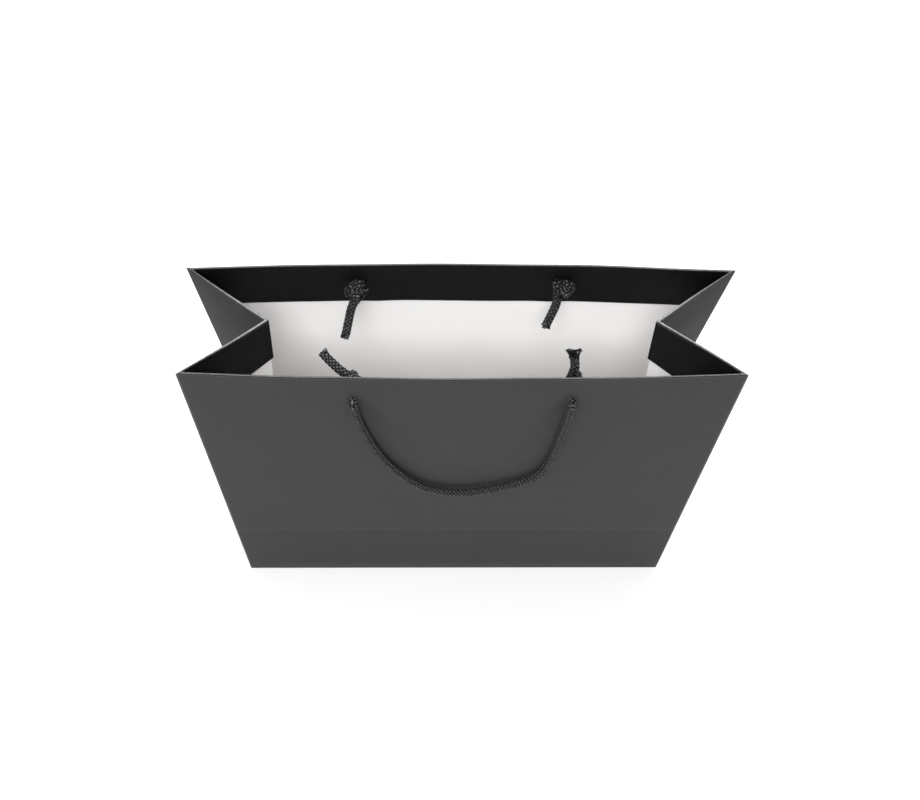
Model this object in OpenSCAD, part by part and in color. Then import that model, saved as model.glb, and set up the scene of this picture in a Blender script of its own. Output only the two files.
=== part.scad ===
// Wide paper gift bag for a row of wine bottles: a folded paper shell with gusseted
// sides, a turned-in top hem, a base board and two knotted rope handles.
// Origin: middle of the base, on the floor. +Z up, the front faces -Y, +X to the right.

/* [Bag] */
// Width of the front and back panels
bag_w = 330; // [250:1:420]
// Depth of the squared base, which is also the full width of a gusset
bag_d = 120; // [90:1:150]
// Height of the paper, measured up a panel from the floor to the top edge
bag_h = 315; // [260:1:400]
// Depth of the half-closed mouth, from the front top edge to the back one
mouth_d = 70; // [56:1:86]
// Height of the crease that the base was folded along
fold_h = 80; // [66:1:98]

/* [Paper] */
// Thickness of the laminated paper
paper_t = 0.4; // [0.3:0.05:0.5]
// Height of the turned-in top hem
hem_h = 50; // [42:1:62]
// Thickness of the card strip glued inside each hem
card_t = 0.6; // [0.5:0.05:0.8]
// Height of the card strip
card_h = 42; // [36:1:50]
// Width of the glue flap that closes the paper tube
glue_w = 15; // [12:1:20]
// How far each long bottom flap reaches past the middle
flap_lap = 20; // [12:1:26]
// Thickness of the loose base board
board_t = 1.4; // [1:0.1:2]

/* [Handles] */
// Diameter of the braided rope
rope_d = 5; // [4:0.1:6]
// Distance between the two holes of one handle
hole_gap = 130; // [110:1:150]
// Distance from the top edge down to the holes
hole_drop = 26; // [20:1:31]
// Diameter of the punched holes
hole_d = 6; // [6:0.1:7.2]
// Diameter of the knot inside each hole
knot_d = 13; // [11:0.5:14]
// Length of the cut end that hangs from a back knot
back_tail = 24; // [20:1:35]
// Length of the cut end that stands from a front knot
front_tail = 16; // [12:1:19]

/* [Clearances] */
// Gap at the crease lines that act as hinges
crease_gap = 0.4; // [0.3:0.1:0.6]
// Gap between two sheets that are glued or laid together
glue_gap = 0.02; // [0.01:0.01:0.05]
// Gap between the upper gusset and the panel edge it folds on
edge_gap = 5; // [4:0.5:7]
// Setback of a hem from the panel's side edges, so that the gusset can fold in
hem_inset = 12; // [10:1:16]
// Gap between the swinging rope and whatever it passes
rope_gap = 0.6; // [0.4:0.1:1]
// Room outside a panel for the paper to bow out under the rope
bow_room = 3; // [2:0.5:5]
// Rise of the upper gusset's lower corner at the centre crease
crease_rise = 6; // [5:1:9]
// Setback of the upper gusset from the centre crease, at its lower end
crease_back = 9; // [8:1:12]

/* [Hidden] */
$fn = 48;
lean = asin((bag_d - mouth_d) / 2 / bag_h);
// Where a leaning wall clears the bottom flaps
floor_s = paper_t * (1 + sin(lean)) / cos(lean);
apex_h = bag_d / 2;
hem_s = bag_h - hem_h;
hole_s = bag_h - hole_drop;
hole_x = hole_gap / 2;
card_y = paper_t + glue_gap;
hem_y = card_y + card_t + glue_gap;
inner_y = hem_y + paper_t;
board_z = 3 * paper_t;
// The swing axis of a handle lies this far outside its panel
swing_y = -(bow_room + rope_gap + rope_d / 2);

// Route of a handle rope in the panel's own plane: [across, up from the holes]
ROUTE = [
    [-65, 0], [-63.5, -16], [-60.8, -32], [-56.4, -52], [-50.2, -72], [-43, -89],
    [-33.6, -105.5], [-22, -118.3], [-8, -124.8], [6, -125.8], [20, -122], [34, -115.2],
    [46, -106.4], [52.8, -98], [57.8, -81], [60.8, -60], [62.6, -36], [64.2, -16], [65, 0]
];
rope_steps = 2;
rope_sides = 8;

// Directions in which the front cut ends stand: [across, into the bag, up]
LEFT_TAIL = [-0.72, 0.55, 0.42];
RIGHT_TAIL = [-0.11, 0.46, 0.88];
// Direction of the back cut ends, which point down into the bag
BACK_TAIL = [-0.3, 0.66, -0.69];

PAPER = [0.09, 0.09, 0.095];
INSIDE = [0.88, 0.87, 0.86];
ROPE = [0.03, 0.03, 0.032];

// ---- Shape of the bag at a distance s up the paper ----

function depth_at(s) = bag_d - (bag_d - mouth_d) * s / bag_h;
function free_inset(s) = sqrt(max(pow(bag_d / 2, 2) - pow(depth_at(s) / 2, 2), 0));
function inset_at(s) = s < apex_h ? free_inset(apex_h) * s / apex_h : free_inset(s);

// Point of the front left half-gusset: up the paper by s, in from the panel edge by r,
// and off into the bag by n
function gusset_len(s) = norm([inset_at(s), depth_at(s) / 2]);
function gusset_dir(s) = [inset_at(s), depth_at(s) / 2] / gusset_len(s);
function gusset_point(s, r, n) =
    let (e = gusset_dir(s))
    [
        -bag_w / 2 + e[0] * r + e[1] * n,
        -depth_at(s) / 2 + e[1] * r - e[0] * n,
        s * cos(lean)
    ];

// Places a child drawn in the front panel's plane: x across, y into the bag, z up the paper
module on_front() {
    translate([0, -bag_d / 2, 0]) rotate([-lean, 0, 0]) children();
}

module on_back() {
    mirror([0, 1, 0]) on_front() children();
}

module sheet(w, y, t, s0, s1) {
    translate([-w / 2, y, s0]) cube([w, t, s1 - s0]);
}

module hole_pair() {
    for (side = [-1, 1])
        translate([side * hole_x, 0, hole_s])
            rotate([-90, 0, 0])
                translate([0, 0, -card_t]) cylinder(d = hole_d, h = inner_y + 2 * card_t);
}

// Faces between ring k and the next, of n points each. The second half of a ring is cut
// along the other diagonal, so that the two sides of a twisted sheet stay parallel.
function ring_faces(k, n) = [
    for (i = [0 : n - 1])
        let (a = k * n + i, b = k * n + (i + 1) % n)
        each i < n / 2
            ? [[a, b, b + n], [a, b + n, a + n]]
            : [[a, b, a + n], [b, b + n, a + n]]
];

// A closed solid from a stack of rings. The two ends are cut into the given parts, or whole.
module stack(sections, parts = []) {
    n = len(sections[0]);
    last = (len(sections) - 1) * n;
    ends = len(parts) > 0 ? parts : [[for (i = [0 : n - 1]) i]];
    polyhedron(
        points = [for (ring = sections) each ring],
        faces = concat(
            [for (part = ends) [for (i = [len(part) - 1 : -1 : 0]) part[i]]],
            [for (k = [0 : len(sections) - 2]) each ring_faces(k, n)],
            [for (part = ends) [for (i = part) last + i]]
        ),
        convexity = 4
    );
}

// ---- Base ----

module lower_wall() {
    color(PAPER) sheet(bag_w, 0, paper_t, floor_s, fold_h - crease_gap / 2);
}

// One lower gusset: its two halves meet at the centre crease, mitred inside
module left_lower_gusset() {
    levels = [paper_t / cos(lean), apex_h / 2, apex_h, fold_h - crease_gap / 2];
    color(PAPER) stack([
        for (s = levels)
            let (
                inner = gusset_point(s, 1, paper_t),
                outer = gusset_point(s, 1, 0),
                crease = gusset_point(s, gusset_len(s), 0),
                mitre = paper_t / gusset_dir(s)[1]
            )
            [
                inner,
                [crease[0] + mitre, 0, crease[2]],
                [inner[0], -inner[1], inner[2]],
                [outer[0], -outer[1], outer[2]],
                [crease[0], 0, crease[2]],
                outer
            ]
    ], parts = [[0, 1, 4, 5], [1, 2, 3, 4]]);
}

module bottom_front_flap() {
    color(PAPER)
        translate([-bag_w / 2, -bag_d / 2, 0]) cube([bag_w, bag_d / 2 + flap_lap, paper_t]);
}

// Lies on the floor behind the front flap and steps up over it
module bottom_back_flap() {
    step = flap_lap + crease_gap;
    color(PAPER) union() {
        translate([-bag_w / 2, step, 0]) cube([bag_w, bag_d / 2 - step, paper_t]);
        translate([-bag_w / 2 + 2, -flap_lap, paper_t])
            cube([bag_w - 4, bag_d / 2 + flap_lap - 2, paper_t]);
    }
}

module end_flap() {
    edge = -bag_w / 2 + 1.5;
    half = bag_d / 2 - 2;
    depth = bag_d / 2 - 2;
    color(PAPER)
        translate([0, 0, 2 * paper_t])
            linear_extrude(paper_t)
                polygon([
                    [edge, -half], [edge + depth, -half / 4],
                    [edge + depth, half / 4], [edge, half]
                ]);
}

module base_board() {
    length = bag_w - 8;
    width = bag_d - 4;
    color(INSIDE) translate([-length / 2, -width / 2, board_z]) cube([length, width, board_t]);
}

module glue_flap(s0, s1) {
    color(PAPER)
        translate([-bag_w / 2 + 5, paper_t + glue_gap, s0]) cube([glue_w, paper_t, s1 - s0]);
}

// ---- Panels ----

module panel() {
    color(PAPER) difference() {
        sheet(bag_w, 0, paper_t, fold_h + crease_gap / 2, bag_h);
        hole_pair();
    }
}

module card() {
    color(INSIDE) difference() {
        sheet(bag_w - 2 * hem_inset - 4, card_y, card_t, bag_h - card_h, bag_h);
        hole_pair();
    }
}

module hem() {
    color(PAPER) difference() {
        sheet(bag_w - 2 * hem_inset, hem_y, paper_t, hem_s, bag_h);
        hole_pair();
    }
}

// ---- Upper gussets, drawn front left ----

function crease_cut(s) =
    crease_gap + crease_back * (bag_h - s) / (bag_h - fold_h);

// Section of a half-gusset between two depths, whose crease end may sit higher
function half_section(s, rise, r0, cut, n0, n1) =
    let (c = s + rise, r1 = gusset_len(c) - cut)
    [
        gusset_point(s, r0, n1),
        gusset_point(c, r1, n1),
        gusset_point(c, r1, n0),
        gusset_point(s, r0, n0)
    ];

module half_gusset() {
    low = fold_h + crease_gap;
    span = hem_s - low;
    color(PAPER) stack([
        for (k = [0 : 4])
            let (s = low + span * k / 4, rise = k == 0 ? crease_rise : 0)
            half_section(s, rise, edge_gap, crease_cut(s), 0, paper_t),
        half_section(bag_h, 0, edge_gap, crease_cut(bag_h), 0, paper_t)
    ]);
}

module half_gusset_hem() {
    n0 = paper_t + glue_gap;
    color(PAPER) stack([
        for (s = [hem_s, bag_h])
            half_section(s, 0, edge_gap, crease_cut(s), n0, n0 + paper_t)
    ]);
}

module to_right() {
    mirror([1, 0, 0]) children();
}

module to_back() {
    mirror([0, 1, 0]) children();
}

// ---- Handles ----

// A knot drawn in the panel's plane at the left or right hole, with its cut end
module knot(side, tail_dir, tail_len) {
    knot_y = inner_y + glue_gap + knot_d / 2;
    stub_y = bow_room + rope_gap / 2;
    pitch = acos(tail_dir[2] / norm(tail_dir));
    turn = atan2(tail_dir[1], tail_dir[0]);
    color(ROPE)
        translate([side * hole_x, 0, hole_s])
            union() {
                translate([0, knot_y, 0]) sphere(d = knot_d);
                rotate([-90, 0, 0])
                    translate([0, 0, -stub_y]) cylinder(d = rope_d, h = knot_y + stub_y);
                translate([0, knot_y, 0])
                    rotate([0, pitch, turn])
                        cylinder(d = rope_d, h = knot_d / 2 + tail_len);
            }
}

// Catmull-Rom point between route points i and i + 1
function clamp_i(i) = max(0, min(i, len(ROUTE) - 1));
function route_at(i, u) =
    let (
        a = ROUTE[clamp_i(i - 1)], b = ROUTE[clamp_i(i)],
        c = ROUTE[clamp_i(i + 1)], d = ROUTE[clamp_i(i + 2)]
    )
    0.5 * (2 * b + (c - a) * u + (2 * a - 5 * b + 4 * c - d) * u * u
        + (3 * b - a - 3 * c + d) * u * u * u);

function route_all() = [
    for (i = [0 : len(ROUTE) - 2], k = [0 : rope_steps - 1]) route_at(i, k / rope_steps),
    ROUTE[len(ROUTE) - 1]
];

// Rope loop in the panel's plane, its ends on the swing axis
module handle_rope() {
    path = route_all();
    last = len(path) - 1;
    // Route points are for holes 130 apart, and the loop widens with the holes
    wide = hole_x / ROUTE[len(ROUTE) - 1][0];
    color(ROPE)
        translate([0, swing_y, hole_s])
            stack([
                for (i = [0 : last])
                    let (
                        p = path[i],
                        q = path[min(i + 1, last)] - path[max(i - 1, 0)],
                        n = [-q[1], q[0]] / norm(q)
                    )
                    [
                        for (k = [0 : rope_sides - 1])
                            let (a = 360 * k / rope_sides)
                            [
                                p[0] * wide + n[0] * cos(a) * rope_d / 2,
                                sin(a) * rope_d / 2,
                                p[1] + n[1] * cos(a) * rope_d / 2
                            ]
                    ]
            ]);
}

on_front() lower_wall();  // front_lower_wall
on_back() lower_wall();  // back_lower_wall
left_lower_gusset();
to_right() left_lower_gusset();  // right_lower_gusset
bottom_front_flap();
bottom_back_flap();
end_flap();  // left_end_flap
to_right() end_flap();  // right_end_flap
base_board();
on_back() glue_flap(board_z + board_t + 1, fold_h - crease_gap);  // glue_flap_lower
on_front() panel();  // front_panel
on_front() card();  // front_card
on_front() hem();  // front_hem
on_front() knot(-1, LEFT_TAIL, front_tail);  // front_left_knot
on_front() knot(1, RIGHT_TAIL, front_tail);  // front_right_knot
on_back() panel();  // back_panel
on_back() card();  // back_card
on_back() hem();  // back_hem
on_back() knot(-1, BACK_TAIL, back_tail);  // back_left_knot
on_back() knot(1, BACK_TAIL, back_tail);  // back_right_knot
on_back() glue_flap(fold_h + crease_gap, hem_s - 1);  // glue_flap_upper
half_gusset();  // front_left_gusset
half_gusset_hem();  // front_left_gusset_hem
to_right() half_gusset();  // front_right_gusset
to_right() half_gusset_hem();  // front_right_gusset_hem
to_back() half_gusset();  // back_left_gusset
to_back() half_gusset_hem();  // back_left_gusset_hem
to_back() to_right() half_gusset();  // back_right_gusset
to_back() to_right() half_gusset_hem();  // back_right_gusset_hem
on_front() handle_rope();  // front_handle_rope
on_back() handle_rope();  // back_handle_rope
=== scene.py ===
# %% [markdown]
# # A wide paper gift bag with rope handles
# The bag is a tube of laminated paper, black outside and white inside. Its sides are gussets that
# fold inwards, its top is turned in over a strip of card, and two braided ropes are knotted inside.
# The imported model is loaded first. It is a fixed frame: every piece below is made in metres, in the
# place that the frame gives it, and the ropes, knots, hems and card strips ride on its bodies.

# %% Load the frame
import math

import bpy
import numpy as np
from mathutils import Matrix, Vector


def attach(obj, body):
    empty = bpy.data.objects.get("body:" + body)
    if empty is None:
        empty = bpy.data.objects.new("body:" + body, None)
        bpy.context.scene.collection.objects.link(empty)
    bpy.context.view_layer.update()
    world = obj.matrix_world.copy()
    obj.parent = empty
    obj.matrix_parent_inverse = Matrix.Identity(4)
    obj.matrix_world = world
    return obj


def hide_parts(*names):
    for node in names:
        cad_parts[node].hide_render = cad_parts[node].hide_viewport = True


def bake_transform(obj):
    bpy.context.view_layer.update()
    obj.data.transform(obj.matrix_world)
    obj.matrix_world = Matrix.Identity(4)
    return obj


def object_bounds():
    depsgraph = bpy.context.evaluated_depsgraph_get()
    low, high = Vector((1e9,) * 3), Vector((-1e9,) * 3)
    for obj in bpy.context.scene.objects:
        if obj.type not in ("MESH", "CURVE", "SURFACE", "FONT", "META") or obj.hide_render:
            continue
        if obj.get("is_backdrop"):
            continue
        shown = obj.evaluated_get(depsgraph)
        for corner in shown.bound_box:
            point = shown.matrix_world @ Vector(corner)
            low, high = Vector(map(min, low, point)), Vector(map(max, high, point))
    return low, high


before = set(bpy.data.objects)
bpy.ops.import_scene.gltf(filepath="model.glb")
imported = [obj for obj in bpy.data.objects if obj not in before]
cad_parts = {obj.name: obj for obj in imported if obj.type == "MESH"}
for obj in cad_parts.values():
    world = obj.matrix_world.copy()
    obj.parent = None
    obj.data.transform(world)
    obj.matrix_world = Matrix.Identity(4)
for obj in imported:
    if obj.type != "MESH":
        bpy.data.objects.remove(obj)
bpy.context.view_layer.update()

# %% [markdown]
# ## The bag's own sizes
# These are the numbers that the bag was designed with. A paper bag is described best in the flat: how
# far up the paper a point is, and how far across. The walls lean in, because the mouth is half closed.

# %% Sizes of the bag, in metres
WIDTH, DEPTH, PAPER_H, MOUTH = 0.330, 0.120, 0.315, 0.070
FOLD_S, HEM_H, CARD_H = 0.080, 0.050, 0.042
PAPER_T, CARD_T, GLUE = 0.0004, 0.0006, 0.00002
HOLE_X, HOLE_S, HOLE_R = 0.065, 0.289, 0.0027
ROPE_D = 0.005
FRONT, BACK, LEFT, RIGHT = -1, 1, -1, 1
HALF_W, APEX_S = WIDTH / 2, DEPTH / 2
HEM_R = (2 * PAPER_T + CARD_T + 2 * GLUE) / 2
TOP_S = PAPER_H - HEM_R
LEAN = math.asin((DEPTH - MOUTH) / 2 / PAPER_H)
SIN, COS = math.sin(LEAN), math.cos(LEAN)
SWING_Y = -0.0061

# %% [markdown]
# ## The camera
# A product picture of a bag is taken from high in front, so that the mouth and the white lining show.
# The camera is given as a position, how far it looks down, and a small turn and roll. Building
# its three axes as vectors makes clear what each angle does.

# %% Camera
def place_camera(eye, down, turn, roll, lens):
    forward = Vector((math.sin(turn) * math.cos(down), math.cos(turn) * math.cos(down), -math.sin(down)))
    right = forward.cross(Vector((0, 0, 1))).normalized()
    up = right.cross(forward)
    x = math.cos(roll) * right + math.sin(roll) * up
    y = -math.sin(roll) * right + math.cos(roll) * up
    data = bpy.data.cameras.new("camera")
    data.sensor_fit, data.sensor_width, data.lens = "HORIZONTAL", 36, lens
    data.clip_start, data.clip_end = 0.05, 30
    camera = bpy.data.objects.new("camera", data)
    bpy.context.scene.collection.objects.link(camera)
    camera.matrix_world = Matrix.Translation(eye) @ Matrix((x, y, -forward)).transposed().to_4x4()
    bpy.context.scene.camera = camera
    return camera


camera = place_camera((-0.0176, -0.3176, 0.9065), math.radians(65.759), math.radians(3.29),
                      math.radians(3.107), 44.73)
print("camera looks along", [round(v, 3) for v in camera.matrix_world.to_3x3() @ Vector((0, 0, -1))])

# %% [markdown]
# ## How the paper lies
# Each wall and gusset gets one small function that turns a place on the flat sheet into a point in
# space. `into` is how deep a layer lies under the outer surface. The real paper isn't a flat board:
# the open mouth bows outwards, the pull of each rope leaves a soft valley that runs down from its
# hole, and the walls ripple by a fraction of a millimetre. Adding these as smooth bumps in code keeps
# every layer, card and hem exactly parallel, which a simulation of such thin layers doesn't.

# %% Soft shapes of a wall
BOW = {FRONT: 0.0037, BACK: 0.0037}
BELLY = 0.0018
# Below the base crease each wall swells a little: how far, and how high up it is fullest
LOW_SWELL, SWELL_PEAK = 0.0019, 0.016
# The base crease is a shallow dent: depth and half width
DENT, DENT_WIDTH = 0.00014, 0.0035
# Valleys run down from the holes: side of the hole, direction on the sheet, length, depth
VALLEYS = {
    FRONT: [(RIGHT, (-0.42, -0.91), 0.085, 0.0023), (LEFT, (0.60, -0.80), 0.120, 0.0024),
            (RIGHT, (0.30, -0.95), 0.050, 0.0009)],
    BACK: [(RIGHT, (-0.35, -0.94), 0.075, 0.0008), (LEFT, (0.45, -0.89), 0.080, 0.0008)],
}


def smooth(t):
    t = np.clip(t, 0, 1)
    return t * t * (3 - 2 * t)


def wall_shape(x, s, face):
    """How far into the bag the outer surface lies from the plain leaning plane."""
    share = np.clip((s - FOLD_S) / (PAPER_H - FOLD_S), 0, 1)
    rise = share ** 1.35
    across = 1 - np.clip(np.abs(x) / HALF_W, 0, 1) ** 2
    shape = -BOW[face] * across * rise - BELLY * across * np.sin(np.pi * share ** 0.8)
    swell = smooth(s / SWELL_PEAK) * np.clip((FOLD_S - s) / (FOLD_S - SWELL_PEAK), 0, 1)
    shape += -LOW_SWELL * across ** 0.25 * swell
    shape += DENT * across ** 0.3 * np.exp(-(((s - FOLD_S) / DENT_WIDTH) ** 2))
    for side, (dx, ds), length, depth in VALLEYS[face]:
        px, ps = x - side * HOLE_X, s - HOLE_S
        along, off = px * dx + ps * ds, -px * ds + ps * dx
        width = 0.005 + 0.085 * np.clip(along, 0, None)
        fade = smooth((along + 0.004) / 0.016) * np.exp(-np.clip(along, 0, None) / (0.55 * length))
        shape += depth * fade * np.exp(-((off / width) ** 2))
    calm = smooth((HALF_W - np.abs(x)) / 0.03) * smooth(s / 0.03)
    ripple = np.sin(41 * x + 13 * s + face) * np.sin(19 * s - 7 * x) + 0.6 * np.sin(67 * x - 29 * s + 2)
    return shape + 0.00022 * calm * ripple


# %% From the flat sheet to space
def half_depth(s):
    return (DEPTH - (DEPTH - MOUTH) * s / PAPER_H) / 2


def inset(s):
    """How far in from the side edges the centre crease of a gusset lies."""
    free = np.sqrt(np.maximum(APEX_S ** 2 - half_depth(np.maximum(s, APEX_S)) ** 2, 1e-12))
    return np.where(s < APEX_S, free * s / APEX_S, free)


def corner_angle(s):
    """Angle between a wall and its gusset, at their shared fold."""
    return np.arctan2(half_depth(s), inset(s))


def on_wall(x, s, into, face):
    """A point of a front or back wall. Deep layers stop short of the corner, on its mitre."""
    near_edge = np.clip((np.abs(x) - (HALF_W - 0.012)) / 0.012, 0, 1)
    x = x - np.sign(x) * near_edge * into / np.tan(corner_angle(s) / 2)
    y = into + wall_shape(x, s, face)
    out = np.stack([x, -half_depth(0 * s) + y * COS + s * SIN, s * COS - y * SIN], axis=-1)
    return out * [1, -face, 1]


def gusset_reach(s, into):
    """First and last distance across a half-gusset, for a layer at that depth."""
    length = np.hypot(inset(s), half_depth(s))
    return into / np.tan(corner_angle(s) / 2), length + into * inset(s) / half_depth(s)


def on_gusset(u, s, into, side, face):
    """A point of a half-gusset: u runs from 0 at the wall to 1 at the centre crease."""
    start, end = gusset_reach(s, into)
    r = start + u * (end - start)
    length = np.hypot(inset(s), half_depth(s))
    e0, e1 = inset(s) / length, half_depth(s) / length
    into = into + 0.0005 * np.sin(np.pi * u) * smooth((s - APEX_S) / 0.1) * (1 if side * face > 0 else -0.6)
    out = np.stack([-HALF_W + e0 * r + e1 * into, -half_depth(s) + e1 * r - e0 * into, s * COS], axis=-1)
    return out * [-side, -face, 1]


corner = on_wall(np.array([-HALF_W]), np.array([PAPER_H]), np.array([0.0]), FRONT)[0]
crease = on_gusset(np.array([1.0]), np.array([PAPER_H]), np.array([0.0]), LEFT, FRONT)[0]
print("top left corner", np.round(corner, 4), "gusset crease at the top", np.round(crease, 4))

# %% [markdown]
# ## Nets: where the vertices go
# A net is the flat plan of a sheet: points (across, up) and faces between them. A regular grid is
# enough for most of it, with extra lines close to folds and edges. A punched hole needs more care.
# Cutting it with a boolean would leave long thin triangles that shade badly, so a square of cells is
# taken out and filled with rings that turn from the square into the circle.

# %% Net with round holes
def lines(low, high, step, extra=()):
    even = np.linspace(low, high, max(2, round((high - low) / step) + 1))
    kept = [v for v in even if all(abs(v - e) > 0.45 * step for e in extra)] + list(extra)
    return np.unique(np.round(np.clip([low, high, *kept], low, high), 7))


def net(xs, ys, holes=(), square=0.009, radius=HOLE_R):
    nx = len(xs)
    points = [(x, y) for y in ys for x in xs]
    faces = []
    for j in range(len(ys) - 1):
        for i in range(nx - 1):
            x, y = (xs[i] + xs[i + 1]) / 2, (ys[j] + ys[j + 1]) / 2
            if all(max(abs(x - hx), abs(y - hy)) > square for hx, hy in holes):
                a = j * nx + i
                faces.append((a, a + 1, a + nx + 1, a + nx))
    for hx, hy in holes:
        border = [k for k, (x, y) in enumerate(points[:nx * len(ys)])
                  if abs(max(abs(x - hx), abs(y - hy)) - square) < 1e-6]
        border.sort(key=lambda k: math.atan2(points[k][1] - hy, points[k][0] - hx))
        ring = border
        for share in (0.4, 0.72, 0.9, 1.0):
            new = []
            for k in border:
                x, y = points[k]
                angle = math.atan2(y - hy, x - hx)
                cx, cy = hx + radius * math.cos(angle), hy + radius * math.sin(angle)
                points.append((x + (cx - x) * share, y + (cy - y) * share))
                new.append(len(points) - 1)
            n = len(ring)
            faces += [(ring[k], ring[(k + 1) % n], new[(k + 1) % n], new[k]) for k in range(n)]
            ring = new
    used = sorted({v for f in faces for v in f})
    number = {v: k for k, v in enumerate(used)}
    return np.array([points[v] for v in used]), [tuple(number[v] for v in f) for f in faces]


# Rows of the net close to a hole, each side of its middle
HOLE_ROWS = np.arange(-3, 4) * 0.003
NEAR_HOLE = [h + d for h in (-HOLE_X, HOLE_X) for d in HOLE_ROWS]
EDGE = [0.0003, 0.0007, 0.0012, 0.002, 0.0035]
ACROSS = NEAR_HOLE + [k * (HALF_W - d) for k in (-1, 1) for d in EDGE + [0.006, 0.009, 0.012]]
points, faces = net(lines(-HALF_W, HALF_W, 0.0045, ACROSS), np.array([0.27, 0.28, 0.283, 0.286, 0.289,
                    0.292, 0.295, 0.298, 0.31]), [(-HOLE_X, HOLE_S), (HOLE_X, HOLE_S)])
print("a strip round the holes has", len(points), "points and", len(faces), "faces")

# %% [markdown]
# ## Sheets with real thickness
# A bag's paper is about 0.4 mm thick and has two different faces, so each sheet is a closed solid: an
# outer skin, an inner skin and a rim along every edge. Solidify could do this, but it gives no control
# of the mitres at the corners. Here both skins come from the same function at two depths, so the
# layers meet cleanly. Skins and rims get their own materials, because printed paper shows its white
# core where it is cut. A vertex attribute marks the folds, where the print rubs off and where a
# highlight is painted on.

# %% Closed sheet from a net
def closed_sheet(name, points, faces, place, wear_and_highlight, materials, turned=False):
    """place(across, up, layer) gives the outer skin for layer 0 and the inner one for layer 1."""
    a, b = points[:, 0], points[:, 1]
    n = len(points)
    skins = np.concatenate([place(a, b, 0), place(a, b, 1)])
    if turned:
        faces = [f[::-1] for f in faces]
    edges = {(f[k], f[(k + 1) % len(f)]) for f in faces for k in range(len(f))}
    rim = [(q, p, p + n, q + n) for p, q in sorted(edges) if (q, p) not in edges]
    inner = [tuple(v + n for v in f[::-1]) for f in faces]
    mesh = bpy.data.meshes.new(name)
    mesh.from_pydata(skins.tolist(), [], [*faces, *inner, *rim])
    for m in materials:
        mesh.materials.append(m)
    slots = np.concatenate([np.zeros(len(faces)), np.ones(len(inner)), np.full(len(rim), 2)])
    mesh.polygons.foreach_set("material_index", slots.astype(np.int32))
    # These fold marks lighten the print: rubbed print plus a painted highlight
    layer = mesh.attributes.new("wear_and_highlight", "FLOAT", "POINT")
    worn = np.clip(wear_and_highlight(a, b), 0, 1).astype(np.float32)
    layer.data.foreach_set("value", np.concatenate([worn, worn]))
    uv = mesh.uv_layers.new(name="sheet")
    corners = np.zeros(len(mesh.loops), np.int32)
    mesh.loops.foreach_get("vertex_index", corners)
    uv.data.foreach_set("uv", np.concatenate([points, points])[corners].astype(np.float32).ravel())
    mesh.update()
    mesh.shade_smooth()
    mesh.set_sharp_from_angle(angle=math.radians(35))
    piece = bpy.data.objects.new(name, mesh)
    bpy.context.scene.collection.objects.link(piece)
    return piece


def volume(piece):
    """Volume in cubic centimetres; positive when the faces point outwards."""
    mesh = piece.data
    mesh.calc_loop_triangles()
    co = np.array([v.co for v in mesh.vertices])
    tri = np.array([t.vertices for t in mesh.loop_triangles])
    p, q, r = co[tri[:, 0]], co[tri[:, 1]], co[tri[:, 2]]
    return float(np.einsum("ij,ij->i", p, np.cross(q, r)).sum() / 6 * 1e6)


# %% [markdown]
# ## Finishes
# Each finish is a node tree on a Principled BSDF: slow noise for uneven
# colour, fast noise for grain, and bump for the relief that the eye reads as paper or yarn. Numbers
# that are the same everywhere sit on the shader's own sockets.

# %% A small helper for node trees
class Finish:
    def __init__(self, name, **sockets):
        self.material = bpy.data.materials.new(name)
        self.material.use_nodes = True
        self.nodes = self.material.node_tree.nodes
        self.links = self.material.node_tree.links
        self.shader = self.nodes["Principled BSDF"]
        for socket, value in sockets.items():
            self.shader.inputs[socket.replace("_", " ")].default_value = value
        self.object = self.add("ShaderNodeTexCoord").outputs["Object"]

    def add(self, kind, **settings):
        node = self.nodes.new(kind)
        for key, value in settings.items():
            if hasattr(node, key):
                setattr(node, key, value)
            else:
                self.put(node.inputs[key.replace("_", " ")], value)
        return node

    def put(self, socket, value):
        if isinstance(value, bpy.types.NodeSocket):
            self.links.new(value, socket)
        else:
            socket.default_value = value

    def noise(self, scale, detail=2, roughness=0.5, vector=None):
        node = self.add("ShaderNodeTexNoise", Scale=scale, Detail=detail, Roughness=roughness,
                        Vector=vector or self.object)
        return node.outputs["Fac"]

    def ramp(self, value, low, high):
        """Takes a noise from 0.5 +- something to a number between low and high."""
        return self.add("ShaderNodeMapRange", Value=value, From_Min=0.3, From_Max=0.7,
                        To_Min=low, To_Max=high).outputs["Result"]

    def math(self, operation, a, b):
        node = self.add("ShaderNodeMath", operation=operation)
        self.put(node.inputs[0], a)
        self.put(node.inputs[1], b)
        return node.outputs[0]

    def mix(self, factor, a, b):
        node = self.add("ShaderNodeMix", data_type="RGBA")
        for socket, value in zip((node.inputs[0], node.inputs[6], node.inputs[7]), (factor, a, b)):
            self.put(socket, value)
        return node.outputs[2]

    def bump(self, height, strength, distance, normal=None):
        node = self.add("ShaderNodeBump", Height=height, Strength=strength, Distance=distance)
        if normal:
            self.links.new(normal, node.inputs["Normal"])
        return node.outputs["Normal"]

    def finish(self, colour=None, roughness=None, normal=None):
        for key, value in (("Base Color", colour), ("Roughness", roughness), ("Normal", normal)):
            if value is not None:
                self.put(self.shader.inputs[key], value)
        return self.material


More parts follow.
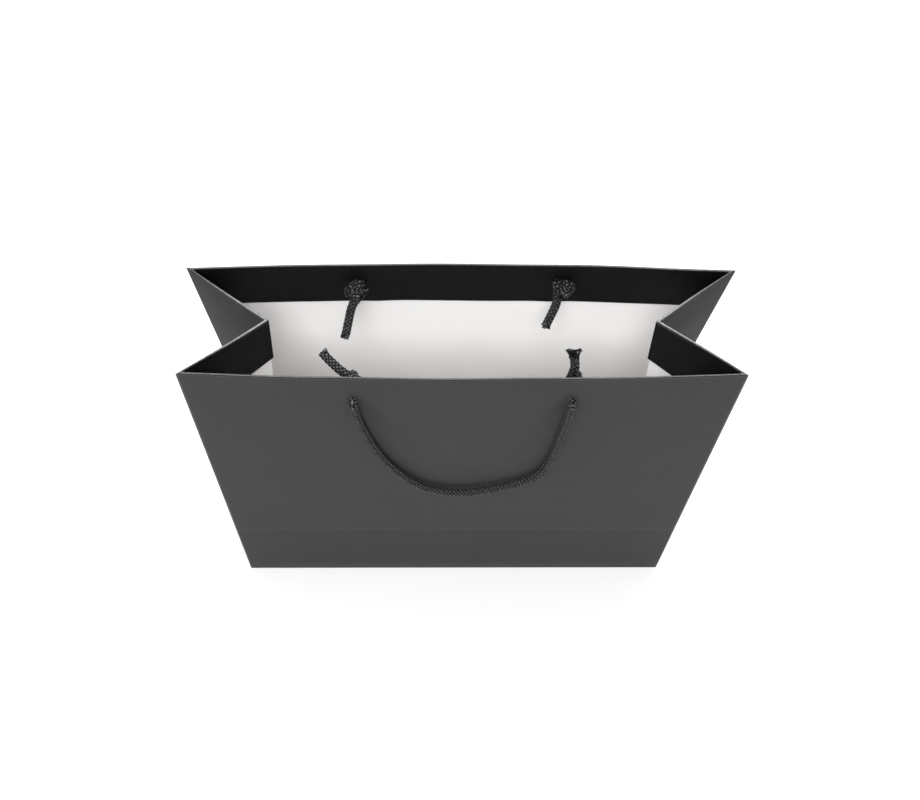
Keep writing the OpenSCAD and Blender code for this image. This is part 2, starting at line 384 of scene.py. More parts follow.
# %% Black print on laminated paper
def black_print(name, gloss, rough_low, painted_shade_factor=1.0):
    """Satin film over black print: even, slightly mottled, with soft scuffs, and folds lightened by rubbing
    and a painted highlight. A last argument below 1 darkens every tone as painted shade.
    """
    f = Finish(name, Specular_IOR_Level=gloss)
    wear_and_highlight = f.add("ShaderNodeAttribute", attribute_name="wear_and_highlight").outputs["Fac"]
    mottle = f.noise(38, 4, 0.6)
    grain = f.noise(1500, 3, 0.6)
    stretch = f.add("ShaderNodeMapping", Vector=f.object, Scale=(30, 30, 5)).outputs["Vector"]
    scuff = f.ramp(f.noise(6, 5, 0.65, stretch), 0, 1)
    scuffs = f.math("MULTIPLY", f.math("POWER", scuff, 3.0), 0.35)
    # Every tone is scaled by the last argument: below 1 this is a painted shade
    deep, grey, scuffed = ((painted_shade_factor * v, painted_shade_factor * v, 1.04 * painted_shade_factor * v, 1) for v in (0.0068, 0.0080, 0.012))
    base = f.mix(f.ramp(mottle, 0, 1), deep, grey)
    base = f.mix(scuffs, base, scuffed)
    # Folds lighten to grey: partly rubbed print, partly a painted highlight along the fold
    rubbed_and_highlight = f.math("MULTIPLY", wear_and_highlight, f.ramp(f.noise(900, 3, 0.6), 0.35, 1.0))
    base = f.mix(rubbed_and_highlight, base, (0.27, 0.268, 0.265, 1))
    rough = f.math("ADD", f.ramp(mottle, rough_low, rough_low + 0.04), f.math("MULTIPLY", scuffs, 0.12))
    normal = f.bump(grain, 0.10, 0.00006)
    normal = f.bump(f.noise(260, 2), 0.10, 0.0002, normal)
    return f.finish(base, rough, normal)


# %% White lining, cut edges and board
def white_lining():
    """The bare white side of the paper: matt, with fibres and a warm and cool drift."""
    f = Finish("white_lining", Specular_IOR_Level=0.35)
    drift = f.ramp(f.noise(9, 2), 0, 1)
    base = f.mix(drift, (0.90, 0.888, 0.882, 1), (0.92, 0.914, 0.91, 1))
    stretch = f.add("ShaderNodeMapping", Vector=f.object, Scale=(1, 1, 3)).outputs["Vector"]
    fibre = f.noise(700, 5, 0.7, stretch)
    base = f.mix(f.ramp(fibre, 0, 0.10), base, (0.72, 0.705, 0.69, 1))
    return f.finish(base, f.ramp(fibre, 0.58, 0.70), f.bump(fibre, 0.12, 0.0001))


def cut_edge():
    """The white core that shows where the paper was cut, painted grey as shade for cut edges and hole rims.
    """
    f = Finish("cut_edge", Roughness=0.8, Specular_IOR_Level=0.2)
    fuzz = f.noise(1100, 4, 0.7)
    # Grey instead of white: painted shade for the cut edges and hole rims
    return f.finish(f.mix(f.ramp(fuzz, 0, 1), (0.20, 0.197, 0.192, 1), (0.48, 0.47, 0.46, 1)),
                    normal=f.bump(fuzz, 0.3, 0.0002))


def grey_board():
    """Recycled board: pale grey pulp with darker and lighter fibres pressed into it."""
    f = Finish("grey_board", Roughness=0.82, Specular_IOR_Level=0.25)
    pulp, fibre = f.noise(120, 4, 0.65), f.noise(900, 4, 0.7)
    base = f.mix(f.ramp(pulp, 0, 1), (0.60, 0.585, 0.56, 1), (0.68, 0.668, 0.645, 1))
    base = f.mix(f.ramp(fibre, 0, 0.45), base, (0.45, 0.43, 0.40, 1))
    return f.finish(base, normal=f.bump(fibre, 0.25, 0.00015))


# %% Yarn of the rope
def black_yarn():
    """Twisted black filament yarn: fine slanted filaments round each strand, with a painted highlight where a
    strand lies on top and painted shade where it dives under.
    """
    f = Finish("black_yarn", Specular_IOR_Level=0.10)
    along = f.add("ShaderNodeAttribute", attribute_name="along").outputs["Fac"]
    around = f.add("ShaderNodeAttribute", attribute_name="around").outputs["Fac"]
    tone = f.add("ShaderNodeAttribute", attribute_name="tone").outputs["Fac"]
    crown = f.add("ShaderNodeAttribute", attribute_name="crown").outputs["Fac"]
    turns = f.math("ADD", f.math("MULTIPLY", around, 9.0), f.math("MULTIPLY", along, 900.0))
    filament = f.math("SINE", f.math("MULTIPLY", turns, 2 * math.pi), 0.0)
    fuzz = f.noise(2600, 3, 0.6)
    height = f.math("ADD", f.math("MULTIPLY", filament, 0.5), fuzz)
    # Strands are painted grey on their crowns, a painted highlight, and stay black where they dive under, a
    # painted shade
    painted_highlight = f.add("ShaderNodeMapRange", Value=crown, From_Min=0.0, From_Max=1.0).outputs["Result"]
    painted_highlight = f.math("MULTIPLY", f.math("POWER", painted_highlight, 5.0), f.math("MULTIPLY", tone, f.ramp(fuzz, 0.4, 1.5)))
    base = f.mix(painted_highlight, (0.0025, 0.0025, 0.0027, 1), (0.20, 0.20, 0.204, 1))
    return f.finish(base, f.ramp(fuzz, 0.34, 0.52), f.bump(height, 0.35, 0.00008))


PRINT = black_print("black_print", 0.47, 0.74)
SIDE_PRINT = black_print("side_print", 0.05, 0.54)
# The turned-in hems use the same print painted darker: a painted shade for the inside of the mouth
SHADED_HEM_PRINT = black_print("hem_print_painted_shade", 0.05, 0.50, painted_shade_factor=0.55)
LINING, CUT, BOARD, YARN = white_lining(), cut_edge(), grey_board(), black_yarn()
print("finishes:", [m.name for m in (PRINT, SIDE_PRINT, SHADED_HEM_PRINT, LINING, CUT, BOARD, YARN)])

# %% [markdown]
# ## The rope: a path first, then a braid along it
# The handle is one length of 5 mm braided rope. Both of its ends go through a wall and are knotted
# inside. The loop between the holes hangs under its own weight against the wall, with a slight bend
# where it was once folded. Its route is the one that the frame's rope follows.

# %% Paths
ROUTE = [(-65, 0), (-63.5, -16), (-60.8, -32), (-56.4, -52), (-50.2, -72), (-43, -89), (-33.6, -105.5),
         (-22, -118.3), (-8, -124.8), (6, -125.8), (20, -122), (34, -115.2), (46, -106.4), (52.8, -98),
         (57.8, -81), (60.8, -60), (62.6, -36), (64.2, -16), (65, 0)]


def curve_through(points, steps):
    """Catmull-Rom line through the points."""
    p = np.array([points[0], *points, points[-1]], float)
    out = []
    for a, b, c, d in zip(p, p[1:], p[2:], p[3:]):
        for t in np.arange(steps) / steps:
            out.append(0.5 * (2 * b + (c - a) * t + (2 * a - 5 * b + 4 * c - d) * t ** 2
                              + (3 * b - a - 3 * c + d) * t ** 3))
    return np.array([*out, p[-1]])


def path_length(path):
    return float(np.linalg.norm(np.diff(path, axis=0), axis=1).sum())


def from_wall_frame(local, face):
    """Local points (across, into the bag, up the paper) of a wall, taken to space."""
    x, y, s = np.asarray(local, float).T
    return np.stack([x, -DEPTH / 2 + y * COS + s * SIN, s * COS - y * SIN], axis=-1) * [1, -face, 1]


def loop_path(face):
    flat = curve_through(np.array(ROUTE, float) / 1000, 6)
    return from_wall_frame([(x, SWING_Y, HOLE_S + up) for x, up in flat], face)


loops = {face: loop_path(face) for face in (FRONT, BACK)}
print("handle loop is", round(path_length(loops[FRONT]), 3), "m long")

# %% [markdown]
# ## The braid as a Geometry Nodes tree
# A round braid is a rule, not a shape: strands wind both ways round a core, and each passes over and
# under the ones that cross it. That suits Geometry Nodes. The tree copies the path once for each
# strand, moves each copy round the path by its angle, and lets the radius rise and fall so that the two
# directions swap places at each crossing. The sizes are named inputs. One end can be rounded off, and
# the other can fray into a few tips, as a cut rope does.

# %% Braid tree
class Tree:
    """Wires nodes with plain calls: every method returns the output that is needed next."""

    def __init__(self, name):
        self.group = bpy.data.node_groups.new(name, "GeometryNodeTree")
        self.nodes, self.links = self.group.nodes, self.group.links

    def add(self, kind, inputs=None, out=0, **settings):
        node = self.nodes.new(kind)
        for key, value in settings.items():
            setattr(node, key, value)
        for key, value in (inputs or {}).items():
            self.put(node.inputs[key], value)
        return node.outputs[out]

    def put(self, socket, value):
        if isinstance(value, bpy.types.NodeSocket):
            self.links.new(value, socket)
        else:
            socket.default_value = value

    def math(self, operation, a, b=0.0):
        return self.add("ShaderNodeMath", {0: a, 1: b}, operation=operation)

    def vector(self, operation, a, b, out=0):
        return self.add("ShaderNodeVectorMath", {0: a, 1: b}, out=out, operation=operation)

    def scaled(self, vector, by):
        return self.add("ShaderNodeVectorMath", {0: vector, "Scale": by}, operation="SCALE")

    def input(self, name, kind, value=None):
        socket = self.group.interface.new_socket(name, in_out="INPUT", socket_type="NodeSocket" + kind)
        if value is not None:
            socket.default_value = value
        return socket.identifier


def braid_tree():
    t = Tree("round_braid")
    t.group.interface.new_socket("Geometry", in_out="OUTPUT", socket_type="NodeSocketGeometry")
    ids = {"Path": t.input("Path", "Geometry")}
    for name, kind, value in (("Rope Diameter", "Float", ROPE_D), ("Strands Each Way", "Int", 6),
                              ("Lay Length", "Float", 0.0165), ("Step", "Float", 0.0006),
                              ("Round Start", "Float", 1.0), ("Round End", "Float", 1.0),
                              ("Fray Length", "Float", 0.0), ("Fray Spread", "Float", 0.0),
                              ("Seed", "Int", 1), ("Yarn", "Material", None)):
        ids[name] = t.input(name, kind, value)
    given = t.nodes.new("NodeGroupInput").outputs
    path = t.add("GeometryNodeResampleCurve", {"Curve": given["Path"], "Length": given["Step"]},
                 mode="LENGTH")
    radius = t.math("MULTIPLY", given["Rope Diameter"], 0.5)
    each_way = given["Strands Each Way"]
    both_ways = t.math("MULTIPLY", each_way, 2.0)

    copies = t.nodes.new("GeometryNodeDuplicateElements")
    copies.domain = "SPLINE"
    t.put(copies.inputs["Geometry"], path)
    t.put(copies.inputs["Amount"], both_ways)
    index = copies.outputs["Duplicate Index"]

    # How far along the path each point is, from either end
    along = t.add("GeometryNodeSplineParameter", out=1)
    whole = t.add("GeometryNodeSplineLength")
    left = t.math("SUBTRACT", whole, along)

    # Even copies wind one way, odd ones the other
    parity = t.math("MODULO", index, 2.0)
    way = t.math("SUBTRACT", 1.0, t.math("MULTIPLY", parity, 2.0))
    number = t.math("FLOOR", t.math("DIVIDE", index, 2.0))
    lays = t.math("DIVIDE", along, given["Lay Length"])
    angle = t.math("ADD", t.math("MULTIPLY", t.math("MULTIPLY", lays, way), 2 * math.pi),
                   t.math("MULTIPLY", t.math("DIVIDE", number, each_way), 2 * math.pi))

    # Near a frayed end the strands gather into three tips and spread
    fray = t.math("SUBTRACT", 1.0, t.math("DIVIDE", left, t.math("MAXIMUM", given["Fray Length"], 1e-5)))
    fray = t.math("MAXIMUM", fray, 0.0)
    third = 2 * math.pi / 3
    tip = t.math("MULTIPLY", t.math("ROUND", t.math("DIVIDE", angle, third)), third)
    pull = t.math("MULTIPLY", t.math("MINIMUM", t.math("MULTIPLY", fray, 1.6), 1.0), 0.75)
    angle = t.math("ADD", angle, t.math("MULTIPLY", t.math("SUBTRACT", tip, angle), pull))
    chance = t.add("FunctionNodeRandomValue", {2: 0.4, 3: 1.0, "ID": index, "Seed": given["Seed"]}, out=1,
                   data_type="FLOAT")
    spread = t.math("MULTIPLY", t.math("MULTIPLY", t.math("POWER", fray, 2.0), given["Fray Spread"]),
                    chance)

    # Over and under: the radius rises and falls once for each pair of crossings
    beat = t.math("MULTIPLY", t.math("MULTIPLY", lays, both_ways), math.pi)
    wave = t.math("MULTIPLY", t.math("COSINE", beat), t.math("MULTIPLY", way, 0.115))
    out = t.math("MULTIPLY", radius, t.math("ADD", wave, 0.775))

    # A rounded end follows a quarter circle
    def rounding(distance, amount):
        share = t.math("MINIMUM", t.math("DIVIDE", distance, radius), 1.0)
        back = t.math("SUBTRACT", 1.0, share)
        arc = t.math("SQRT", t.math("SUBTRACT", 1.0, t.math("MULTIPLY", back, back)))
        return t.math("SUBTRACT", 1.0, t.math("MULTIPLY", amount, t.math("SUBTRACT", 1.0, arc)))

    ends = t.math("MULTIPLY", rounding(along, given["Round Start"]), rounding(left, given["Round End"]))
    out = t.math("ADD", t.math("MULTIPLY", out, ends), spread)

    normal = t.add("GeometryNodeInputNormal")
    across = t.vector("CROSS_PRODUCT", t.add("GeometryNodeInputTangent"), normal)
    ray = t.vector("ADD", t.scaled(normal, t.math("COSINE", angle)), t.scaled(across, t.math("SINE", angle)))
    tone = t.add("FunctionNodeRandomValue", {2: 0.5, 3: 1.0, "ID": index, "Seed": given["Seed"]}, out=1,
                 data_type="FLOAT")

    def keep(geometry, name, value, kind="FLOAT"):
        return t.add("GeometryNodeStoreNamedAttribute",
                     {"Geometry": geometry, "Name": name, "Value": value}, data_type=kind, domain="POINT")

    strands = keep(copies.outputs["Geometry"], "ray", ray, "FLOAT_VECTOR")
    # The crown value drives the yarn finish's painted highlight and shade
    crown = t.math("MULTIPLY", t.math("COSINE", beat), way)
    strands = keep(keep(keep(strands, "along", along), "tone", tone), "crown", crown)
    strands = t.add("GeometryNodeSetPosition", {"Geometry": strands, "Offset": t.scaled(ray, out)})
    kept_ray = t.add("GeometryNodeInputNamedAttribute", {"Name": "ray"}, data_type="FLOAT_VECTOR")
    strands = t.add("GeometryNodeSetCurveNormal", {"Curve": strands, "Normal": kept_ray}, mode="FREE")

    # Flat oval bundle of yarn, lying against the rope
    oval = t.add("GeometryNodeCurvePrimitiveCircle", {"Resolution": 6, "Radius": 1.0}, mode="RADIUS")
    oval = keep(oval, "around", t.add("GeometryNodeSplineParameter"))
    wide = t.math("MULTIPLY", radius, 0.30)
    thin = t.math("MULTIPLY", radius, 0.14)
    size = t.add("ShaderNodeCombineXYZ", {"X": thin, "Y": wide, "Z": 1.0})
    oval = t.add("GeometryNodeTransform", {"Geometry": oval, "Scale": size})
    yarns = t.add("GeometryNodeCurveToMesh", {"Curve": strands, "Profile Curve": oval, "Fill Caps": True})

    # A plain dark core closes the gaps between the strands
    core_size = t.math("MULTIPLY", t.math("MULTIPLY", radius, 0.68), ends)
    core = keep(path, "core_size", t.math("MAXIMUM", core_size, 0.00005))
    # The core gets the lowest crown, so it has no painted highlight
    core = keep(keep(keep(core, "along", along), "tone", 0.0), "crown", -1.0)
    kept_size = t.add("GeometryNodeInputNamedAttribute", {"Name": "core_size"}, data_type="FLOAT")
    disc = t.add("GeometryNodeCurvePrimitiveCircle", {"Resolution": 10, "Radius": 1.0}, mode="RADIUS")
    core = t.add("GeometryNodeCurveToMesh",
                 {"Curve": core, "Profile Curve": disc, "Scale": kept_size, "Fill Caps": True})
    joined = t.nodes.new("GeometryNodeJoinGeometry")
    for part in (core, yarns):
        t.links.new(part, joined.inputs[0])
    shaded = t.add("GeometryNodeSetShadeSmooth", {"Geometry": joined.outputs[0]})
    real = t.add("GeometryNodeRealizeInstances", {"Geometry": shaded})
    done = t.add("GeometryNodeSetMaterial", {"Geometry": real, "Material": given["Yarn"]})
    t.links.new(done, t.nodes.new("NodeGroupOutput").inputs[0])
    return t.group, ids


BRAID, BRAID_IDS = braid_tree()
print("braid inputs:", [name for name in BRAID_IDS])


# %% Braid along one path
def braided(name, path, **inputs):
    """Runs the tree on one path and keeps the result as a plain mesh."""
    line = bpy.data.curves.new(name + "_path", "CURVE")
    line.dimensions = "3D"
    spline = line.splines.new("POLY")
    spline.points.add(len(path) - 1)
    spline.points.foreach_set("co", np.c_[path, np.ones(len(path))].astype(np.float32).ravel())
    source = bpy.data.objects.new(name + "_path", line)
    bpy.context.scene.collection.objects.link(source)
    modifier = source.modifiers.new("braid", "NODES")
    modifier.node_group = BRAID
    for key, value in {"Yarn": YARN, **inputs}.items():
        modifier[BRAID_IDS[key]] = value
    bpy.context.view_layer.update()
    mesh = bpy.data.meshes.new_from_object(source.evaluated_get(bpy.context.evaluated_depsgraph_get()))
    mesh.name = name
    bpy.data.objects.remove(source)
    piece = bpy.data.objects.new(name, mesh)
    bpy.context.scene.collection.objects.link(piece)
    mesh.calc_loop_triangles()
    points = np.array([v.co for v in mesh.vertices])
    apart = max(np.linalg.norm(path - p, axis=1).min() for p in points[::7])
    print(name, "-", len(mesh.loop_triangles), "triangles along", round(path_length(path), 3), "m,",
          round(1000 * apart, 1), "mm at most from its path")
    return piece


# %% [markdown]
# ## The knots
# Each cut end is tied in a plain overhand knot, which is a trefoil with one lobe opened. Its curve has
# a short formula, so the path is written down rather than drawn: from the hole, once round the
# trefoil, and out along the tail. The last millimetres of the tail fray.

# %% Knot paths and ropes
BRAID_D = 0.0057  # over the crowns of the strands
KNOT_IN = {FRONT: 0.0088, BACK: 0.0044}


def knot_path(face, side, tail, length, spin, tilt, pulled):
    """From the swing point, through the hole, round the knot, out to the cut end."""
    lift = float(wall_shape(np.array([side * HOLE_X]), np.array([HOLE_S]), face)[0])
    middle = np.array([pulled[0], 2 * HEM_R + KNOT_IN[face] + lift, pulled[1]])
    look = np.array([0.0, math.cos(tilt), math.sin(tilt)])
    right, up = np.array([1.0, 0, 0]), np.array([0, -math.sin(tilt), math.cos(tilt)])
    angles = np.linspace(3 * math.pi - 0.42, math.pi + 0.42, 15)
    px = np.sin(angles) + 2 * np.sin(2 * angles)
    py = np.cos(angles) - 2 * np.cos(2 * angles)
    pz = 1.30 * np.sin(3 * angles)
    c, s = math.cos(spin), math.sin(spin)
    px, py = -side * (c * px - s * py), s * px + c * py
    turns = [middle + 0.00172 * (a * right + b * up + d * look) for a, b, d in zip(px, py, pz)]
    tail = np.array(tail, float) / np.linalg.norm(tail)
    start = [(0, SWING_Y, 0), (0, SWING_Y + 0.004, 0), (0, 2 * HEM_R + lift - 0.0002, 0)]
    leave = middle + tail * 0.0095
    sway = np.array([0.0004 * side, 0, 0])
    end = [leave, middle + tail * (0.0065 + 0.5 * length) + sway, middle + tail * (0.0065 + length)]
    local = curve_through([*start, *turns, *end], 10) + [side * HOLE_X, 0, HOLE_S]
    return from_wall_frame(local, face)


TAILS = {
    ("front", LEFT): ((-0.72, 0.55, 0.42), 0.0190, 0.5, 1.15, 0.0034, 0.0014, (0, 0.0030)),
    ("front", RIGHT): ((-0.11, 0.46, 0.88), 0.0145, 0.3, 1.15, 0.0060, 0.0036, (0.0020, 0.0040)),
    ("back", LEFT): ((-0.24, 0.72, -0.65), 0.0255, 0.9, 1.10, 0.0030, 0.0006, (0, 0.0020)),
    ("back", RIGHT): ((-0.35, 0.61, -0.71), 0.0215, 0.4, 1.20, 0.0030, 0.0009, (-0.0025, 0.0040)),
}

for face, word in ((FRONT, "front"), (BACK, "back")):
    path = loops[face]
    # The rounded ends reach half a rope past the swing points, so that the elbow is full
    reach = [path[0] + (path[0] - path[1]) / np.linalg.norm(path[0] - path[1]) * ROPE_D / 2]
    tail = [path[-1] + (path[-1] - path[-2]) / np.linalg.norm(path[-1] - path[-2]) * ROPE_D / 2]
    rope = braided(word + "_handle_braid", np.concatenate([reach, path, tail]), Seed=3 + face,
                   **{"Rope Diameter": BRAID_D})
    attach(rope, word + "_handle")
    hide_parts(word + "_handle_rope")
    for side, hand in ((LEFT, "left"), (RIGHT, "right")):
        tail, length, spin, tilt, fray, flare, pulled = TAILS[word, side]
        line = knot_path(face, side, tail, length, spin, tilt, pulled)
        back_off = (line[0] - line[1]) / np.linalg.norm(line[0] - line[1]) * ROPE_D / 2
        inputs = {"Rope Diameter": BRAID_D, "Round End": 0.0, "Fray Length": fray, "Fray Spread": flare,
                  "Seed": 11 + 5 * side + face}
        knot = braided(f"{word}_{hand}_overhand", np.concatenate([[line[0] + back_off], line]), **inputs)
        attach(knot, word + "_wall")
        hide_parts(f"{word}_{hand}_knot")
    path_length(path)

# %% [markdown]
# ## Front and back walls
# Each wall is one uninterrupted sheet from the floor to the top edge, with its two punched holes. The
# base crease is a hinge in the frame; the sheet is made across it in one piece, in its resting shape.

# %% Wall sheets
def near(distance, width):
    return np.exp(-((distance / width) ** 2))


# Side folds, bottom edge and top edge lighten: wear plus a painted highlight along each fold
def wall_wear_and_highlight(x, s):
    side_fold = near(HALF_W - np.abs(x), 0.0008) * 0.45
    # A faint painted highlight along the base crease
    crease_line = 0.03 * near(s - FOLD_S, 0.0013)
    return np.maximum.reduce([side_fold, crease_line, 0.5 * near(s, 0.0007), 0.2 * near(s - TOP_S, 0.0005)])


# Half the height over which the paper bends at the base crease
SHEET_UP = [FOLD_S + d for d in np.arange(-6, 7) * 0.001] + [HOLE_S + d for d in HOLE_ROWS]
SHEET_UP += [0.0009, 0.0016, 0.003, TOP_S - 0.0006, TOP_S - 0.0014, TOP_S - 0.003]
HOLES = [(-HOLE_X, HOLE_S), (HOLE_X, HOLE_S)]
wall_net = net(lines(-HALF_W, HALF_W, 0.0045, ACROSS), lines(0.00045, TOP_S, 0.0045, SHEET_UP), HOLES)

for face, word in ((FRONT, "front"), (BACK, "back")):
    def place(x, s, layer, face=face):
        return on_wall(x, s, np.full(len(x), layer * PAPER_T), face)

    wall = closed_sheet(word + "_paper", *wall_net, place, wall_wear_and_highlight, (PRINT, LINING, CUT), face == BACK)
    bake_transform(wall)
    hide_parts(word + "_panel", word + "_lower_wall")
    print(wall.name, "holds", round(volume(wall), 2), "cm3 of paper")

# %% [markdown]
# ## The turned-in hem
# At the top the paper goes round a strip of card and down the inside, so the black print shows there
# too. Its profile is half a circle and a straight drop. Measuring along that profile lets the same net
# code punch the holes through the second layer. The fold is lightened by wear and a painted highlight,
# and the print inside is painted darker, as shade.

# %% Hem strips of the walls
ARC = math.pi * HEM_R
HEM_END = ARC + TOP_S - (PAPER_H - HEM_H)


def hem_profile(v, layer):
    """Depth into the bag and height up the paper, v along the outer skin of the fold."""
    turn = np.clip(v / HEM_R, 0, math.pi)
    r = HEM_R - layer * PAPER_T
    return HEM_R - r * np.cos(turn), TOP_S + r * np.sin(turn) - np.clip(v - ARC, 0, None)


# The crown of the top fold lightens most: a painted highlight with some wear
def hem_wear_and_highlight(x, v):
    crown = near(v - ARC / 2, 0.0005)
    side_fold = near(HALF_W - np.abs(x), 0.0010) * 0.5
    return np.maximum.reduce([0.42 * crown, side_fold * (v < ARC + 0.002), 0.35 * near(v - HEM_END, 0.0004)])


HEM_UP = [ARC * k / 8 for k in range(1, 9)] + [HEM_END - 0.0004, HEM_END - 0.001]
HOLE_V = ARC + TOP_S - HOLE_S
HEM_UP += [HOLE_V + d for d in HOLE_ROWS]
hem_net = net(lines(-HALF_W, HALF_W, 0.0045, ACROSS), lines(0, HEM_END, 0.0045, HEM_UP),
              [(-HOLE_X, HOLE_V), (HOLE_X, HOLE_V)])

for face, word in ((FRONT, "front"), (BACK, "back")):
    def place(x, v, layer, face=face):
        into, s = hem_profile(v, layer)
        return on_wall(x, s, into, face)

    hem = closed_sheet(word + "_turned_hem", *hem_net, place, hem_wear_and_highlight, (SHADED_HEM_PRINT, LINING, CUT),
                       face == BACK)
    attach(hem, word + "_wall")
    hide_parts(word + "_hem")
    print(hem.name, round(volume(hem), 2), "cm3")

# %% [markdown]
# ## The card in the hem and the glue flap
# The card strip stiffens the top edge and keeps the knots from tearing out. It is hidden, but it has to
# follow the bow of the wall, so it is made as a curved strip too. The glue flap closes the tube inside
# the back wall, and it crosses the base crease like the wall does.

# %% Card strips and glue flap
def no_wear(a, b):
    return 0 * a


card_net = net(lines(-HALF_W + 0.014, HALF_W - 0.014, 0.006, NEAR_HOLE),
               lines(PAPER_H - CARD_H, TOP_S - 0.0002, 0.006, [HOLE_S + d for d in HOLE_ROWS]),
               HOLES)
for face, word in ((FRONT, "front"), (BACK, "back")):
    def place(x, s, layer, face=face):
        return on_wall(x, s, np.full(len(x), PAPER_T + GLUE + layer * CARD_T), face)

    card = closed_sheet(word + "_card_strip", *card_net, place, no_wear, (BOARD, BOARD, BOARD), face == BACK)
    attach(card, word + "_wall")
    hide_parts(word + "_card")


def flap_place(x, s, layer):
    return on_wall(x, s, np.full(len(x), PAPER_T + GLUE + layer * PAPER_T), BACK)


flap_net = net(lines(-0.160, -0.145, 0.003), lines(0.002, PAPER_H - HEM_H - 0.0005, 0.005, SHEET_UP[:13]))
flap = closed_sheet("glue_flap", *flap_net, flap_place, no_wear, (PRINT, LINING, CUT), True)
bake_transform(flap)
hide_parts("glue_flap_upper", "glue_flap_lower")
print("card and glue flap:", round(volume(card), 2), round(volume(flap), 2), "cm3")

# %% [markdown]
# ## The folding sides
# A gusset is two halves that meet at a centre crease. Above the base crease each half turns on its own
# wall's side edge. The fold widens steadily with height, which one rigid plate can't do, so each half is
# made as one curved sheet in its resting shape. The turned-in hem goes round here too.


CREASE_U = [0.004, 0.01, 0.02, 0.04, 0.94, 0.97, 0.985, 0.994]
upper_net = net(lines(0, 1, 0.05, CREASE_U), lines(FOLD_S, TOP_S, 0.006, [TOP_S - 0.0006, TOP_S - 0.0014]))
side_hem_net = net(lines(0, 1, 0.05, CREASE_U), lines(0, HEM_END, 0.006, HEM_UP[:10]))


# Fold edges of the gusset lighten: wear plus a painted highlight
def side_wear_and_highlight(u, s):
    return np.maximum.reduce([0.45 * near(u * 0.06, 0.0009), 0.25 * near((1 - u) * 0.06, 0.0008),
                              0.25 * near(s - TOP_S, 0.0006)])


# The top fold of the gusset hem lightens strongly towards the centre crease: a painted highlight with some
# wear
def side_hem_wear_and_highlight(u, v):
    top = near(v - ARC / 2, 0.0004 + 0.0005 * smooth(u)) * (0.35 + 0.65 * smooth(u))
    return np.maximum.reduce([0.85 * top, 0.35 * near(v - HEM_END, 0.0004)])


for face, word in ((FRONT, "front"), (BACK, "back")):
    for side, hand in ((LEFT, "left"), (RIGHT, "right")):
        def place(u, s, layer, side=side, face=face):
            return on_gusset(u, s, np.full(len(u), layer * PAPER_T), side, face)

        def hem_place(u, v, layer, side=side, face=face):
            into, s = hem_profile(v, layer)
            return on_gusset(u, s, into, side, face)

        name = f"{word}_{hand}_gusset"
        # Known fault: the faces of these pieces point inwards, so their volumes print negative
        turned = side * face > 0
        half = closed_sheet(name + "_paper", *upper_net, place, side_wear_and_highlight, (SIDE_PRINT, LINING, CUT),
                            not turned)
        lip = closed_sheet(name + "_turned_hem", *side_hem_net, hem_place, side_hem_wear_and_highlight,
                           (SHADED_HEM_PRINT, LINING, CUT), not turned)
        for piece, node in ((half, name), (lip, name + "_hem")):
            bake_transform(piece)
            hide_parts(node)
        print(half.name, round(volume(half), 2), "cm3,", lip.name, round(volume(lip), 2), "cm3")

# %% [markdown]
# ## The squared sides of the base
# Under the crease each side is folded like the end of a parcel. Two slanting creases run from the
# bottom corners to the centre, and below them lies one flat triangle. The net's cells are split along
# that slant, so that the crease stays sharp.

# %% Lower half-gussets
def lower_net(step=0.005):
    across = np.arange(0, APEX_S + step / 2, step)
    up = np.concatenate([[0.00045], across[1:], np.arange(APEX_S + step, FOLD_S + step / 2, step)])
    n = len(across)
    points = np.array([(r, s) for s in up for r in across])
    faces = []
    for j in range(len(up) - 1):
        for i in range(n - 1):
            a, b, c, d = j * n + i, j * n + i + 1, (j + 1) * n + i + 1, (j + 1) * n + i
            faces += [(a, b, c), (a, c, d)] if i == j else [(a, b, c, d)]
    return points, faces


def on_lower_side(r, s, into, side, face):
    """The folded-in side under the crease: r is measured across the flat paper from the corner."""
    edge = np.stack([-HALF_W + 0 * s, -half_depth(s), s * COS], axis=-1)
    apex = np.array([-HALF_W + float(inset(np.array(APEX_S))), 0, APEX_S * COS])
    slant = np.stack([-HALF_W + (apex[0] + HALF_W) * s / APEX_S, -APEX_S + s, apex[2] * s / APEX_S], axis=-1)
    middle = np.stack([-HALF_W + inset(s), 0 * s, s * COS], axis=-1)
    low = s < APEX_S - 1e-9
    outer = np.where(low[:, None], slant, middle)
    reach = np.where(low, s, APEX_S)
    t = np.clip(r / np.maximum(reach, 1e-9), 0, 1)[:, None]
    point = edge + (outer - edge) * t
    inner_t = (np.clip(r - reach, 0, None) / np.maximum(APEX_S - s, 1e-9))[:, None]
    point = np.where((low & (r > reach))[:, None], slant + (middle - slant) * inner_t, point)
    length = np.hypot(inset(s), half_depth(s))
    e0, e1 = inset(s) / length, half_depth(s) / length
    point[:, 0] += into * e1 + near(r - 0, 0.002) * into * e0 / np.tan(corner_angle(s) / 2)
    point[:, 1] += -into * e0 + near(r - 0, 0.002) * into * e1 / np.tan(corner_angle(s) / 2)
    point[:, 1] = np.where(r > APEX_S - 1e-6, 0, point[:, 1])
    return point * [-side, -face, 1]


# Corner fold and bottom edge lighten: wear plus a painted highlight
def low_wear_and_highlight(r, s):
    return np.maximum(0.45 * near(r, 0.0009), 0.25 * near(s, 0.0007))


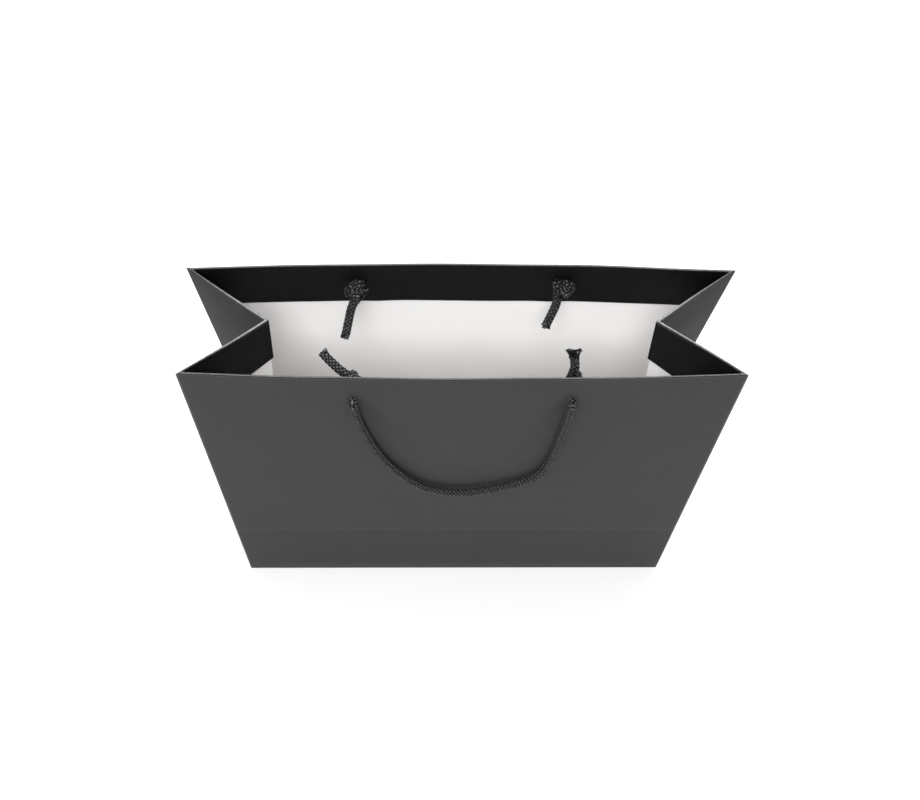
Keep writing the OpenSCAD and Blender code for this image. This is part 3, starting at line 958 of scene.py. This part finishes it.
for face, word in ((FRONT, "front"), (BACK, "back")):
    for side, hand in ((LEFT, "left"), (RIGHT, "right")):
        def place(r, s, layer, side=side, face=face):
            return on_lower_side(r, s, np.full(len(r), layer * PAPER_T), side, face)

        # Known fault: the faces of these pieces point inwards, so their volumes print negative
        low = closed_sheet(f"{word}_{hand}_lower_side", *lower_net(), place, low_wear_and_highlight,
                           (SIDE_PRINT, LINING, CUT), side * face < 0)
        low.data.set_sharp_from_angle(angle=math.radians(8))
        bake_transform(low)
        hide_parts(hand + "_lower_gusset")
        print(low.name, round(volume(low), 2), "cm3")

# %% [markdown]
# ## The bottom
# The flaps under the bag and the loose board in it are flat, so the frame's own solids are right and
# stay. They only get their finishes.

# %% Finishes of the bottom
for name, finish in (("bottom_front_flap", PRINT), ("bottom_back_flap", PRINT), ("left_end_flap", PRINT),
                     ("right_end_flap", PRINT), ("base_board", BOARD)):
    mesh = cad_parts[name].data
    mesh.materials.clear()
    mesh.materials.append(finish)
print("bottom pieces finished")

# %% [markdown]
# ## Floor and light
# The bag stands on a white sweep. Most of what makes black satin paper look grey is the bright floor
# that it mirrors, so the floor matters more than the lamps. Big soft lamps and a pale world keep the
# shadows faint.

# %% Floor, lamps and world
def floor_sheet():
    mesh = bpy.data.meshes.new("floor")
    r, n = 6.0, 48
    ring = [(r * math.cos(2 * math.pi * k / n), r * math.sin(2 * math.pi * k / n), -0.0004) for k in range(n)]
    mesh.from_pydata(ring, [], [list(range(n))])
    f = Finish("floor_white", Roughness=0.9, Specular_IOR_Level=0.1)
    colour = f.mix(f.ramp(f.noise(0.8, 2), 0, 1), (0.595, 0.595, 0.595, 1), (0.605, 0.605, 0.605, 1))
    mesh.materials.append(f.finish(colour))
    floor = bpy.data.objects.new("floor", mesh)
    bpy.context.scene.collection.objects.link(floor)
    return floor


def lamp(name, place, aim, size, power):
    data = bpy.data.lights.new(name, "AREA")
    data.shape, data.size, data.energy = "DISK", size, power
    light = bpy.data.objects.new(name, data)
    bpy.context.scene.collection.objects.link(light)
    light.location = place
    light.rotation_euler = (Vector(aim) - Vector(place)).to_track_quat("-Z", "Y").to_euler()
    return light


floor_sheet()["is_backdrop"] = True
lamp("mouth_key", (-0.15, -0.85, 1.9), (0, 0.02, 0.2), 0.8, 43)
lamp("overhead", (0.0, 0.25, 2.4), (0, 0, 0.1), 1.6, 14)
lamp("into_the_mouth", (0.05, 0.75, 1.9), (0, -0.03, 0.2), 0.7, 46)
lamp("left", (-1.9, -0.7, 1.2), (0, 0, 0.1), 1.2, 14)
lamp("right", (1.9, -0.7, 1.2), (0, 0, 0.1), 1.2, 6)
world = bpy.data.worlds.new("studio")
world.use_nodes = True
world.node_tree.nodes["Background"].inputs["Color"].default_value = (1, 1, 1, 1)
world.node_tree.nodes["Background"].inputs["Strength"].default_value = 0.6
bpy.context.scene.world = world
bpy.context.scene.view_settings.view_transform = "Standard"
print("stage is set")

# %% Measure and finish
low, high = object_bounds()
print("visual box, mm:", [round(1000 * v, 1) for v in (*low, *high)])
